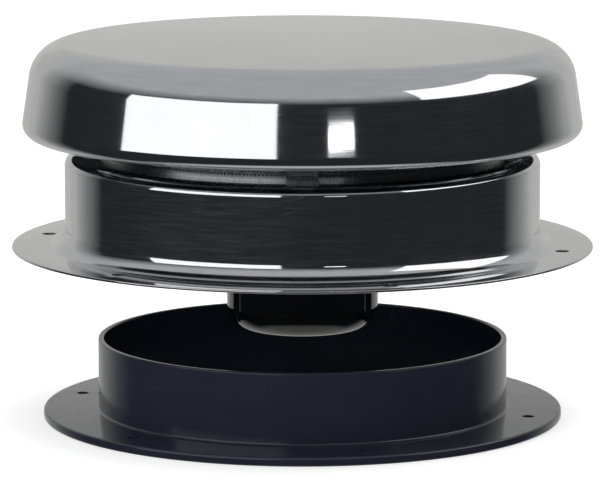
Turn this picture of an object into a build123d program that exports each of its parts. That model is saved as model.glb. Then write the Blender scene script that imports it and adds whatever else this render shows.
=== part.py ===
from build123d import *
from math import asin, cos, degrees, pi, radians, sin, sqrt
import os

# Roof ventilator in stainless steel with a closing valve worked by a knob from inside, and a ceiling ring.
# Millimetres. The origin is the centre of the housing flange's underside, which lies on the roof. +Z is up.
# Angles round the axis are counted from the front, which is -Y, towards the right, which is +X.

# Housing, one sheet drawn into a flange, a wall, a deck and an upturned neck
HOUSING_SHEET = 1.0
FLANGE_RADIUS = 115.0
FLANGE_WIDTH = 21.0
FLANGE_BEND = 7.0
DECK_HEIGHT = 37.1
DECK_FALL = 0.7
DECK_FALL_WIDTH = 7.0
DECK_WIDTH = 16.0
SHOULDER_BEND = 4.0
NECK_HEIGHT = 8.0
NECK_BEND = 2.0
ROOF_SCREWS = 6
ROOF_SCREW_INSET = 11.0
ROOF_SCREW_START = 18.0
ROOF_SCREW_HOLE = 5.5
ROOF_SCREW_SINK = 0.35

# Cap, a domed pan whose rim curls inwards under the skirt
CAP_SHEET = 1.0
CAP_SETBACK = 4.5
AIR_GAP = 7.4
CAP_SHOULDER_BEND = 15.0
CAP_SKIRT_LENGTH = 18.6
CAP_FLARE = 8.6
CROWN_SLOPE = 2.05
CAP_CURL = 5.0
CAP_LIP = 1.2

# Legs that carry the cap on the deck, bent from flat bar and spot-welded at both feet
CAP_LEGS = 3
LEG_WIDTH = 12.0
LEG_SHEET = 1.5
LEG_BEND = 1.2
LEG_FOOT = 6.3
WELD_GAP = 0.05

# Insect screen, a perforated strip rolled into a ring, its ends lapped and riveted
SCREEN_SHEET = 0.6
SCREEN_NECK_GAP = 8.4
SCREEN_TOP_GAP = 0.3
SCREEN_LEG_GAP = 0.3
SCREEN_EDGE = 2.0
SCREEN_ROWS = 4
SCREEN_COLUMNS = 40
SCREEN_BAR = 2.6
SCREEN_LAP = 12.0
SCREEN_LAP_ANGLE = 150.0
SCREEN_RIVETS = 3
SCREEN_RIVET_RADIUS = 1.2
SCREEN_RIVET_HEAD = 2.1
SCREEN_RIVET_DOME = 0.8

# Bridge across the throat, riveted to the neck, with a brass nut for the spindle
BRIDGE_WIDTH = 22.0
BRIDGE_SHEET = 2.0
BRIDGE_RISE = 1.3
BRIDGE_TAB_HEIGHT = 6.4
BRIDGE_RIVET_SPACING = 12.0
BRIDGE_RIVET_RADIUS = 1.3
BRIDGE_RIVET_HEAD = 2.1
BRIDGE_RIVET_DOME = 0.9
RIVET_FIT = 0.05
NUT_ACROSS_FLATS = 17.0
NUT_HEIGHT = 6.0
NUT_SPIGOT_RADIUS = 6.5
NUT_SPIGOT_BELOW = 2.0
NUT_CHAMFER = 0.8

# Spindle with its shoulder, stop nut and retaining clip
SPINDLE_RADIUS = 5.0
THREAD_FIT = 0.05
RUNNING_FIT = 0.05
AXIAL_PLAY = 0.1
SPINDLE_COLLAR_RADIUS = 8.5
SPINDLE_COLLAR_HEIGHT = 3.0
SPINDLE_STEM_RADIUS = 6.0
SPINDLE_STEM_LENGTH = 1.2
SPINDLE_TIP = 2.0
STOP_GAP = 0.3
STOP_NUT_ACROSS_FLATS = 16.0
STOP_NUT_HEIGHT = 6.0
CLIP_GROOVE = 0.8
CLIP_THICKNESS = 1.2
CLIP_RADIUS = 8.0
CLIP_MOUTH = 7.0
WASHER_RADIUS = 9.5
WASHER_THICKNESS = 1.0

# Closing disc, a pressed dish with a rubber seal that shuts against the underside of the deck
VALVE_TRAVEL = 20.0
SEAL_GAP = 0.3
SEAL_HEIGHT = 3.0
SEAL_WIDTH = 5.0
SEAL_EDGE = 0.8
DISC_LAP = 7.0
DISC_SHEET = 1.0
DISC_DISH = 3.0
DISC_RIM_WIDTH = 7.0
DISC_CONE_WIDTH = 12.0
DISC_BEND = 2.5
DISC_HEM = 2.2
BUSH_RADIUS = 7.2
BUSH_FLANGE_RADIUS = 11.0
BUSH_FLANGE_HEIGHT = 1.5

# Knob, a black moulding with three lobes and a brass insert, open towards the disc
KNOB_RADIUS = 30.0
KNOB_HEIGHT = 30.0
KNOB_CORNER = 9.5
KNOB_TOP_CORNER = 1.5
KNOB_LOBES = 3
KNOB_GROOVE_ANGLE = 60.0
KNOB_GROOVE_RADIUS = 1.8
KNOB_GROOVE_DEPTH = 1.6
KNOB_GROOVE_EDGE = 1.2
KNOB_WALL = 3.0
KNOB_FLOOR = 5.0
KNOB_BOSS_RADIUS = 10.5
KNOB_RIB = 2.0
INSERT_RADIUS = 7.5
INSERT_LENGTH = 18.0
INSERT_FIT = 0.05
LOCKNUT_ACROSS_FLATS = 16.0
LOCKNUT_HEIGHT = 4.0

# Ceiling ring, one black moulding: a flat flange and a collar that lines the hole in the roof
RING_WIDTH = 21.8
RING_THICKNESS = 3.5
RING_EDGE = 1.0
RING_BELOW_KNOB = 3.5
COLLAR_DISC_GAP = 1.9
COLLAR_WALL = 2.3
COLLAR_HEIGHT = 31.5
COLLAR_CHAMFER = 0.6
COLLAR_ROOT = 1.0
RING_SCREWS = 6
RING_SCREW_INSET = 11.0
RING_SCREW_START = 15.0
RING_SCREW_HOLE = 4.8
RING_SCREW_HEAD = 8.6

# Radii that follow from the flange's
WALL_RADIUS = FLANGE_RADIUS - FLANGE_WIDTH
DECK_SEAT_RADIUS = WALL_RADIUS - DECK_FALL_WIDTH
NECK_RADIUS = DECK_SEAT_RADIUS - DECK_WIDTH
THROAT_RADIUS = NECK_RADIUS - HOUSING_SHEET
ROOF_SCREW_CIRCLE = FLANGE_RADIUS - ROOF_SCREW_INSET
CAP_RADIUS = FLANGE_RADIUS - CAP_SETBACK
SCREEN_RADIUS = NECK_RADIUS + SCREEN_NECK_GAP + SCREEN_SHEET
DISC_RADIUS = THROAT_RADIUS + DISC_LAP
COLLAR_BORE = DISC_RADIUS + COLLAR_DISC_GAP
COLLAR_RADIUS = COLLAR_BORE + COLLAR_WALL
RING_RADIUS = COLLAR_RADIUS + RING_WIDTH
RING_SCREW_CIRCLE = RING_RADIUS - RING_SCREW_INSET

# Heights, from the deck up to the cap and down to the ring
NECK_TOP = DECK_HEIGHT + NECK_HEIGHT
CAP_RIM_HEIGHT = DECK_HEIGHT + AIR_GAP
BRIDGE_HEIGHT = DECK_HEIGHT + BRIDGE_RISE
SEAL_TOP = DECK_HEIGHT - HOUSING_SHEET - SEAL_GAP - VALVE_TRAVEL
DISC_RIM_TOP = SEAL_TOP - SEAL_HEIGHT
DISC_CENTRE_TOP = DISC_RIM_TOP - DISC_DISH
BUSH_TOP = DISC_CENTRE_TOP + BUSH_FLANGE_HEIGHT
DISC_CENTRE_BOTTOM = DISC_CENTRE_TOP - DISC_SHEET
LOWER_WASHER_TOP = DISC_CENTRE_BOTTOM - AXIAL_PLAY
UPPER_WASHER_BOTTOM = BUSH_TOP + AXIAL_PLAY
COLLAR_TOP = LOWER_WASHER_TOP - WASHER_THICKNESS
CLIP_BOTTOM = UPPER_WASHER_BOTTOM + WASHER_THICKNESS
NUT_SEAT = BRIDGE_HEIGHT + BRIDGE_SHEET
NUT_TOP = NUT_SEAT + NUT_HEIGHT
STOP_NUT_BOTTOM = NUT_TOP + STOP_GAP
STOP_NUT_TOP = STOP_NUT_BOTTOM + STOP_NUT_HEIGHT
SPINDLE_TOP = STOP_NUT_TOP + SPINDLE_TIP
SPINDLE_COLLAR_BOTTOM = COLLAR_TOP - SPINDLE_COLLAR_HEIGHT
STEM_TOP = SPINDLE_COLLAR_BOTTOM - SPINDLE_COLLAR_RADIUS + SPINDLE_STEM_RADIUS
STEM_BOTTOM = STEM_TOP - SPINDLE_STEM_LENGTH
KNOB_TOP = STEM_BOTTOM - LOCKNUT_HEIGHT
KNOB_BOTTOM = KNOB_TOP - KNOB_HEIGHT
INSERT_BOTTOM = KNOB_TOP - INSERT_LENGTH
RING_BOTTOM = KNOB_BOTTOM - RING_BELOW_KNOB - COLLAR_HEIGHT
FULL_TURN = 360.0
CUT_LENGTH = 400.0


def at_angle(shape, angle):
    """Turn a feature modelled at the front to its angle round the axis."""
    return Rot(0, 0, angle) * shape


def turned(profile):
    """Revolve a profile drawn as radius and height."""
    return revolve(Plane.XZ * profile, Axis.Z, FULL_TURN)


def sheet(line, thickness, side):
    """Give a drawn line the thickness of the sheet."""
    return make_face(offset(line, amount=thickness, side=side, closed=True).edges())


def tube(outer, inner, bottom, height):
    """A plain ring with its lower face at the given height."""
    ring = Circle(outer) - Circle(inner)
    return extrude(Pos(0, 0, bottom) * ring, height)


def bore(radius):
    """A cutter along the axis through everything."""
    return Cylinder(radius, CUT_LENGTH)


def crown_radius():
    """Radius at which the crown of the cap passes into its shoulder."""
    flare = radians(CAP_FLARE)
    slope = radians(CROWN_SLOPE)
    curl_side = CAP_CURL * (1 - cos(flare))
    skirt_side = CAP_SKIRT_LENGTH * sin(flare)
    shoulder_side = CAP_SHOULDER_BEND * (cos(flare) - sin(slope))
    return CAP_RADIUS - curl_side - skirt_side - shoulder_side


def crown_ball():
    """Radius of the large ball that the crown is a part of."""
    return crown_radius() / sin(radians(CROWN_SLOPE))


def cap_top():
    """Height of the middle of the crown."""
    flare = radians(CAP_FLARE)
    slope = radians(CROWN_SLOPE)
    curl_rise = CAP_CURL * (1 + sin(flare))
    skirt_rise = CAP_SKIRT_LENGTH * cos(flare)
    shoulder_rise = CAP_SHOULDER_BEND * (cos(slope) - sin(flare))
    crown_rise = crown_ball() * (1 - cos(slope))
    return CAP_RIM_HEIGHT + curl_rise + skirt_rise + shoulder_rise + crown_rise


def cap_underside(radius):
    """Height of the crown's underside at a distance from the axis."""
    inner_ball = crown_ball() - CAP_SHEET
    return cap_top() - crown_ball() + sqrt(inner_ball**2 - radius**2)


def make_housing():
    deck_edge = DECK_HEIGHT - DECK_FALL
    points = [
        (FLANGE_RADIUS, HOUSING_SHEET),
        (WALL_RADIUS, HOUSING_SHEET),
        (WALL_RADIUS, deck_edge),
        (DECK_SEAT_RADIUS, DECK_HEIGHT),
        (NECK_RADIUS, DECK_HEIGHT),
        (NECK_RADIUS, NECK_TOP),
    ]
    bends = [FLANGE_BEND, SHOULDER_BEND, SHOULDER_BEND, NECK_BEND]
    line = FilletPolyline(*points, radius=bends)
    shell = turned(sheet(line, HOUSING_SHEET, Side.LEFT))
    hole = Cylinder(ROOF_SCREW_HOLE / 2, HOUSING_SHEET * 3)
    sink = Cone(ROOF_SCREW_HOLE / 2, ROOF_SCREW_HOLE / 2 + 2 * ROOF_SCREW_SINK, 2 * ROOF_SCREW_SINK)
    hole += Pos(0, 0, HOUSING_SHEET) * sink
    for index in range(ROOF_SCREWS):
        angle = ROOF_SCREW_START + index * FULL_TURN / ROOF_SCREWS
        shell -= at_angle(Pos(0, -ROOF_SCREW_CIRCLE, 0) * hole, angle)
    rivet_hole = Cylinder(BRIDGE_RIVET_RADIUS + RIVET_FIT, 2 * NECK_RADIUS + HOUSING_SHEET, rotation=(0, 90, 0))
    for offset_y in (-BRIDGE_RIVET_SPACING / 2, BRIDGE_RIVET_SPACING / 2):
        shell -= Pos(0, offset_y, bridge_rivet_height()) * rivet_hole
    return shell


def make_cap():
    crown = JernArc((0, cap_top()), (1, 0), crown_ball(), -CROWN_SLOPE)
    shoulder = JernArc(crown @ 1, crown % 1, CAP_SHOULDER_BEND, CROWN_SLOPE + CAP_FLARE - 90)
    skirt = PolarLine(shoulder @ 1, CAP_SKIRT_LENGTH, direction=shoulder % 1)
    curl = JernArc(skirt @ 1, skirt % 1, CAP_CURL, -90 - CAP_FLARE)
    lip = PolarLine(curl @ 1, CAP_LIP, direction=curl % 1)
    line = Wire([crown, shoulder, skirt, curl, lip])
    return turned(sheet(line, CAP_SHEET, Side.RIGHT))


def make_leg(angle):
    """A C-shaped leg outside the screen, with both feet turned outwards."""
    inner = SCREEN_RADIUS + SCREEN_LEG_GAP
    foot_end = inner + LEG_FOOT
    top = cap_underside(foot_end) - WELD_GAP
    points = [(foot_end, DECK_HEIGHT), (inner, DECK_HEIGHT), (inner, top), (foot_end, top)]
    line = FilletPolyline(*points, radius=LEG_BEND + LEG_SHEET)
    profile = Plane.YZ * mirror(sheet(line, LEG_SHEET, Side.RIGHT), Plane.YZ)
    leg = extrude(profile, LEG_WIDTH / 2, both=True)
    return at_angle(leg, angle)


def screen_top():
    return cap_underside(SCREEN_RADIUS - SCREEN_SHEET) - SCREEN_TOP_GAP


def screen_windows():
    """Staggered rows of square holes, left out where the ends of the strip lap."""
    height = screen_top() - DECK_HEIGHT - 2 * SCREEN_EDGE
    pitch_up = height / SCREEN_ROWS
    pitch_round = FULL_TURN / SCREEN_COLUMNS
    width = 2 * pi * SCREEN_RADIUS / SCREEN_COLUMNS - SCREEN_BAR
    window = Box(width, 4 * SCREEN_SHEET, pitch_up - SCREEN_BAR)
    plain = degrees((SCREEN_LAP + width) / 2 / SCREEN_RADIUS)
    cutters = []
    for row in range(SCREEN_ROWS):
        middle = DECK_HEIGHT + SCREEN_EDGE + (row + 0.5) * pitch_up
        place = Pos(0, -SCREEN_RADIUS, middle) * window
        for column in range(SCREEN_COLUMNS):
            angle = pitch_round * (column + row % 2 / 2)
            if abs(angle - SCREEN_LAP_ANGLE) > plain:
                cutters.append(at_angle(place, angle))
    return cutters


def make_lap():
    """The outer end of the strip, lying over the inner one."""
    band = tube(SCREEN_RADIUS + SCREEN_SHEET, SCREEN_RADIUS, DECK_HEIGHT, screen_top() - DECK_HEIGHT)
    block = Pos(0, -SCREEN_RADIUS, 0) * Box(SCREEN_LAP, SCREEN_RADIUS, CUT_LENGTH)
    return at_angle(band & block, SCREEN_LAP_ANGLE)


def screen_rivet_heights():
    step = (screen_top() - DECK_HEIGHT) / SCREEN_RIVETS
    return [DECK_HEIGHT + (index + 0.5) * step for index in range(SCREEN_RIVETS)]


def make_screen():
    inner = SCREEN_RADIUS - SCREEN_SHEET
    strip = tube(SCREEN_RADIUS, inner, DECK_HEIGHT, screen_top() - DECK_HEIGHT)
    strip = strip - screen_windows() + make_lap()
    hole = Cylinder(SCREEN_RIVET_RADIUS + RIVET_FIT, SCREEN_RADIUS, rotation=(90, 0, 0))
    for height in screen_rivet_heights():
        strip -= at_angle(Pos(0, -SCREEN_RADIUS, height) * hole, SCREEN_LAP_ANGLE)
    return strip


def make_rivet(shank_radius, head_radius, dome, grip):
    """A rivet lying along Y: its shank is as long as the grip, with a domed head at both ends."""
    half = grip / 2
    ball = (head_radius**2 + dome**2) / (2 * dome)
    reach = degrees(asin(head_radius / ball))
    cap_line = JernArc((0, half + dome), (1, 0), ball, -reach)
    corner = cap_line @ 1
    outline = Polyline(
        corner,
        (shank_radius, corner.Y),
        (shank_radius, -half),
        (head_radius, -half),
    )
    foot_line = JernArc((0, -half - dome), (1, 0), ball, reach)
    closing = Line((0, -half - dome), (0, half + dome))
    edges = cap_line.edges() + outline.edges() + foot_line.edges() + closing.edges()
    body = turned(make_face(edges))
    return Rot(90, 0, 0) * body


def make_screen_rivets():
    grip = 2 * SCREEN_SHEET
    rivets = []
    for height in screen_rivet_heights():
        rivet = make_rivet(SCREEN_RIVET_RADIUS, SCREEN_RIVET_HEAD, SCREEN_RIVET_DOME, grip + 2 * RIVET_FIT)
        rivets.append(at_angle(Pos(0, -SCREEN_RADIUS, height) * rivet, SCREEN_LAP_ANGLE))
    return Compound(children=rivets)


def bridge_rivet_height():
    tab_bottom = BRIDGE_HEIGHT + BRIDGE_SHEET
    return tab_bottom + (BRIDGE_TAB_HEIGHT - BRIDGE_SHEET) / 2


def make_bridge():
    outer = THROAT_RADIUS - WELD_GAP
    strip = Box(2 * outer, BRIDGE_WIDTH, CUT_LENGTH)
    plate = extrude(Pos(0, 0, BRIDGE_HEIGHT) * Circle(outer), BRIDGE_SHEET) & strip
    tabs = tube(outer, outer - BRIDGE_SHEET, BRIDGE_HEIGHT, BRIDGE_TAB_HEIGHT) & strip
    bridge = plate + tabs
    bridge -= bore(NUT_SPIGOT_RADIUS + WELD_GAP)
    hole = Cylinder(BRIDGE_RIVET_RADIUS + RIVET_FIT, 2 * outer, rotation=(0, 90, 0))
    for offset_y in (-BRIDGE_RIVET_SPACING / 2, BRIDGE_RIVET_SPACING / 2):
        bridge -= Pos(0, offset_y, bridge_rivet_height()) * hole
    return bridge


def make_bridge_rivets():
    """Two rivets at each end, through the bridge's tab and the neck."""
    inner = THROAT_RADIUS - WELD_GAP - BRIDGE_SHEET
    outer = NECK_RADIUS
    offset_y = BRIDGE_RIVET_SPACING / 2
    inner_x = sqrt(inner**2 - (offset_y + BRIDGE_RIVET_HEAD) ** 2)
    outer_x = sqrt(outer**2 - (offset_y - BRIDGE_RIVET_HEAD) ** 2)
    grip = outer_x - inner_x + 2 * RIVET_FIT
    middle = (inner_x + outer_x) / 2
    rivet = Rot(0, 0, 90) * make_rivet(BRIDGE_RIVET_RADIUS, BRIDGE_RIVET_HEAD, BRIDGE_RIVET_DOME, grip)
    rivets = []
    for side in (-1, 1):
        for across in (-offset_y, offset_y):
            rivets.append(Pos(side * middle, across, bridge_rivet_height()) * rivet)
    return Compound(children=rivets)


def hex_nut(across_flats, height, bottom, hole_radius):
    """A hexagon nut with its corners turned off at both ends."""
    blank = RegularPolygon(across_flats / 2, 6, major_radius=False)
    nut = extrude(Pos(0, 0, bottom) * blank, height)
    corner_radius = across_flats / 2 / cos(radians(30))
    turned_blank = Pos(0, 0, bottom + height / 2) * Cylinder(corner_radius, height)
    nut &= chamfer(turned_blank.edges().filter_by(GeomType.CIRCLE), NUT_CHAMFER / 2, NUT_CHAMFER)
    return nut - bore(hole_radius)


def make_spindle_nut():
    hole_radius = SPINDLE_RADIUS + RUNNING_FIT
    nut = hex_nut(NUT_ACROSS_FLATS, NUT_HEIGHT, NUT_SEAT, hole_radius)
    spigot_height = BRIDGE_SHEET + NUT_SPIGOT_BELOW
    return nut + tube(NUT_SPIGOT_RADIUS, hole_radius, NUT_SEAT - spigot_height, spigot_height)


def make_spindle():
    groove_radius = SPINDLE_RADIUS - CLIP_GROOVE
    tip = SPINDLE_RADIUS - CLIP_GROOVE
    outline = Polyline(
        (0, SPINDLE_TOP),
        (tip, SPINDLE_TOP),
        (SPINDLE_RADIUS, SPINDLE_TOP - CLIP_GROOVE),
        (SPINDLE_RADIUS, CLIP_BOTTOM + CLIP_THICKNESS),
        (groove_radius, CLIP_BOTTOM + CLIP_THICKNESS),
        (groove_radius, CLIP_BOTTOM),
        (SPINDLE_RADIUS, CLIP_BOTTOM),
        (SPINDLE_RADIUS, COLLAR_TOP),
        (SPINDLE_COLLAR_RADIUS, COLLAR_TOP),
        (SPINDLE_COLLAR_RADIUS, SPINDLE_COLLAR_BOTTOM),
        (SPINDLE_STEM_RADIUS, STEM_TOP),
        (SPINDLE_STEM_RADIUS, STEM_BOTTOM),
        (SPINDLE_RADIUS, STEM_BOTTOM),
        (SPINDLE_RADIUS, INSERT_BOTTOM),
        (0, INSERT_BOTTOM),
        close=True,
    )
    return turned(make_face(outline))


def make_clip():
    """A retaining clip in the spindle's groove, open on one side."""
    inner = SPINDLE_RADIUS - CLIP_GROOVE + RUNNING_FIT
    clip = tube(CLIP_RADIUS, inner, CLIP_BOTTOM, CLIP_THICKNESS)
    mouth = Pos(0, -CLIP_RADIUS, CLIP_BOTTOM) * Box(CLIP_MOUTH, 2 * CLIP_RADIUS, 4 * CLIP_THICKNESS)
    return clip - mouth


def make_disc():
    """A pressed dish: flat rim with a turned-down hem, a cone, and a flat middle round the bush."""
    cone_inner = DISC_RADIUS - DISC_RIM_WIDTH - DISC_CONE_WIDTH
    hem_bottom = DISC_RIM_TOP - DISC_SHEET - DISC_HEM
    hole = BUSH_RADIUS + WELD_GAP
    points = [
        (hole, DISC_CENTRE_TOP),
        (cone_inner, DISC_CENTRE_TOP),
        (DISC_RADIUS - DISC_RIM_WIDTH, DISC_RIM_TOP),
        (DISC_RADIUS, DISC_RIM_TOP),
        (DISC_RADIUS, hem_bottom),
    ]
    line = FilletPolyline(*points, radius=[DISC_BEND, DISC_BEND, 2 * DISC_SHEET])
    return turned(sheet(line, DISC_SHEET, Side.RIGHT))


def make_seal():
    """Rubber ring bonded to the disc's rim, with rounded upper edges."""
    outer = DISC_RADIUS - 2 * DISC_SHEET
    section = Pos(outer - SEAL_WIDTH / 2, DISC_RIM_TOP + SEAL_HEIGHT / 2) * Rectangle(SEAL_WIDTH, SEAL_HEIGHT)
    section = fillet(section.vertices().group_by(Axis.Y)[-1], SEAL_EDGE)
    return turned(section)


def make_bush():
    bottom = DISC_CENTRE_BOTTOM
    hole_radius = SPINDLE_RADIUS + RUNNING_FIT
    body = tube(BUSH_RADIUS, hole_radius, bottom, DISC_CENTRE_TOP - bottom)
    return body + tube(BUSH_FLANGE_RADIUS, hole_radius, DISC_CENTRE_TOP, BUSH_FLANGE_HEIGHT)


def knob_plan():
    """Outline of the knob seen along its axis, with a rounded groove between the lobes."""
    plan = Rot(0, 0, KNOB_GROOVE_ANGLE - 90) * Circle(KNOB_RADIUS)
    groove = Pos(0, -KNOB_RADIUS - KNOB_GROOVE_RADIUS + KNOB_GROOVE_DEPTH) * Circle(KNOB_GROOVE_RADIUS)
    for index in range(KNOB_LOBES):
        plan -= at_angle(groove, KNOB_GROOVE_ANGLE + index * FULL_TURN / KNOB_LOBES)
    return fillet(plan.vertices(), KNOB_GROOVE_EDGE)


def make_knob():
    form = Pos(0, 0, KNOB_BOTTOM + KNOB_HEIGHT / 2) * Cylinder(KNOB_RADIUS, KNOB_HEIGHT)
    rims = form.edges().filter_by(GeomType.CIRCLE).sort_by(Axis.Z)
    form = fillet(rims[0], KNOB_CORNER)
    rims = form.edges().filter_by(GeomType.CIRCLE).sort_by(Axis.Z)
    form = fillet(rims[-1], KNOB_TOP_CORNER)
    knob = form & extrude(Pos(0, 0, KNOB_BOTTOM) * knob_plan(), KNOB_HEIGHT)
    pocket_bottom = KNOB_BOTTOM + KNOB_FLOOR
    pocket_radius = KNOB_RADIUS - KNOB_GROOVE_DEPTH - KNOB_WALL
    pocket = tube(pocket_radius, KNOB_BOSS_RADIUS, pocket_bottom, KNOB_HEIGHT)
    rib = Pos(0, -KNOB_RADIUS / 2, 0) * Box(KNOB_RIB, KNOB_RADIUS, CUT_LENGTH)
    for index in range(2 * KNOB_LOBES):
        pocket -= at_angle(rib, index * FULL_TURN / (2 * KNOB_LOBES))
    socket = Cylinder(INSERT_RADIUS + INSERT_FIT, KNOB_HEIGHT)
    return knob - pocket - Pos(0, 0, INSERT_BOTTOM + KNOB_HEIGHT / 2) * socket


def make_insert():
    """Threaded brass insert moulded into the knob's boss."""
    return tube(INSERT_RADIUS, SPINDLE_RADIUS + THREAD_FIT, INSERT_BOTTOM, INSERT_LENGTH)


def make_ring():
    flange = tube(RING_RADIUS, COLLAR_BORE, RING_BOTTOM, RING_THICKNESS)
    outer_edges = flange.edges().filter_by(GeomType.CIRCLE).group_by(SortBy.RADIUS)[-1]
    flange = fillet(outer_edges, RING_EDGE)
    collar = tube(COLLAR_RADIUS, COLLAR_BORE, RING_BOTTOM, COLLAR_HEIGHT)
    top_edges = collar.edges().filter_by(GeomType.CIRCLE).group_by(Axis.Z)[-1]
    collar = chamfer(top_edges, COLLAR_CHAMFER)
    ring = flange + collar
    root_height = RING_BOTTOM + RING_THICKNESS
    root = [edge for edge in ring.edges().filter_by(GeomType.CIRCLE)
            if abs(edge.radius - COLLAR_RADIUS) < 0.01 and abs(edge.center().Z - root_height) < 0.01]
    ring = fillet(root, COLLAR_ROOT)
    hole = Cylinder(RING_SCREW_HOLE / 2, CUT_LENGTH / 4)
    sink_depth = (RING_SCREW_HEAD - RING_SCREW_HOLE) / 2
    sink = Cone(RING_SCREW_HEAD / 2 + sink_depth, RING_SCREW_HOLE / 2, 2 * sink_depth)
    hole = Pos(0, 0, RING_BOTTOM) * (hole + sink)
    for index in range(RING_SCREWS):
        angle = RING_SCREW_START + index * FULL_TURN / RING_SCREWS
        ring -= at_angle(Pos(0, -RING_SCREW_CIRCLE, 0) * hole, angle)
    return ring


def make_washer(bottom):
    return tube(WASHER_RADIUS, SPINDLE_RADIUS + RUNNING_FIT, bottom, WASHER_THICKNESS)


def make_parts():
    thread = SPINDLE_RADIUS + THREAD_FIT
    parts = {
        "housing": make_housing(),
        "cap": make_cap(),
        "insect_screen": make_screen(),
        "screen_rivets": make_screen_rivets(),
        "bridge": make_bridge(),
        "bridge_rivets": make_bridge_rivets(),
        "spindle_nut": make_spindle_nut(),
        "spindle": make_spindle(),
        "stop_nut": hex_nut(STOP_NUT_ACROSS_FLATS, STOP_NUT_HEIGHT, STOP_NUT_BOTTOM, thread),
        "retaining_clip": make_clip(),
        "upper_washer": make_washer(UPPER_WASHER_BOTTOM),
        "lower_washer": make_washer(COLLAR_TOP),
        "closing_disc": make_disc(),
        "disc_seal": make_seal(),
        "disc_bush": make_bush(),
        "knob": make_knob(),
        "knob_insert": make_insert(),
        "knob_locknut": hex_nut(LOCKNUT_ACROSS_FLATS, LOCKNUT_HEIGHT, KNOB_TOP, thread),
        "ceiling_ring": make_ring(),
    }
    for index in range(CAP_LEGS):
        parts[f"cap_leg_{index + 1}"] = make_leg(index * FULL_TURN / CAP_LEGS)
    return parts


os.makedirs("parts", exist_ok=True)
for name, shape in make_parts().items():
    export_step(shape, f"parts/{name}.step")
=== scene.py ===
import math

import bmesh
import bpy
from bpy.props import FloatProperty, FloatVectorProperty, IntProperty, PointerProperty
from mathutils import Matrix, Vector


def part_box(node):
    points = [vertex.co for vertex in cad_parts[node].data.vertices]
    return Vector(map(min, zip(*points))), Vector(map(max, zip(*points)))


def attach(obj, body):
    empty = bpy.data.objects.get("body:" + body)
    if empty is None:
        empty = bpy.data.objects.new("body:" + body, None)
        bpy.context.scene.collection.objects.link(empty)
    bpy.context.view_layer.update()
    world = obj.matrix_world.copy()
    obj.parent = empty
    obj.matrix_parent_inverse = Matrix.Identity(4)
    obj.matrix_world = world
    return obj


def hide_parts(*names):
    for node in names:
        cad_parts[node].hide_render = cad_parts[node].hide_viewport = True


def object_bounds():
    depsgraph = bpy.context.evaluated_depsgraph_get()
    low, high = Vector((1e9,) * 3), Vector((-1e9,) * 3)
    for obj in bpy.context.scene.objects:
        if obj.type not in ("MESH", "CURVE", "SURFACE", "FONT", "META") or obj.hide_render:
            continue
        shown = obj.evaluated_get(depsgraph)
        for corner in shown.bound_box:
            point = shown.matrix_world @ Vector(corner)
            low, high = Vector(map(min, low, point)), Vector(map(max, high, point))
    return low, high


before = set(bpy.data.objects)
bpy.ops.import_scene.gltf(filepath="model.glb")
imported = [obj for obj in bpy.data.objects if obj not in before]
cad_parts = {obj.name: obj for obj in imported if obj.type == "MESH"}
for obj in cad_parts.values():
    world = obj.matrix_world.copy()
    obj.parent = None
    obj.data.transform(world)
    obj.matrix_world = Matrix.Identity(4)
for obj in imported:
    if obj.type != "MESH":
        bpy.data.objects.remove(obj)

bl_info = {
    "name": "Roof ventilator finish",
    "version": (1, 0, 0),
    "blender": (4, 5, 0),
    "location": "View3D > Sidebar > Vent",
    "description": "Dresses the roof ventilator: polished stainless, black mouldings and the studio",
    "category": "Object",
}

CAD_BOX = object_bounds()
MM = 0.001
FULL_TURN = 2 * math.pi
SCREWS = 6
# Angles of the first screw holes and of the strip's lap, in degrees from the front towards the right
ROOF_FIRST_SCREW = 18.0
RING_FIRST_SCREW = 15.0
LAP_MIDDLE = 150.0
PHOTO_WIDTH = 609
PHOTO_HEIGHT = 480


def linear(hex_colour):
    """Turn an sRGB hex colour into linear red, green and blue."""
    channels = [int(hex_colour[start:start + 2], 16) / 255 for start in (1, 3, 5)]
    return [c / 12.92 if c <= 0.04045 else ((c + 0.055) / 1.055) ** 2.4 for c in channels]


def length(name, description, millimetres):
    """A size that a user may change, held in metres."""
    return FloatProperty(name=name, description=description, default=millimetres * MM, unit="LENGTH",
                         subtype="DISTANCE", precision=5)


def colour(name, description, hex_colour):
    """A colour that a user may change."""
    return FloatVectorProperty(name=name, description=description, default=linear(hex_colour),
                               subtype="COLOR", size=3, min=0.0, max=1.0)


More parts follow.
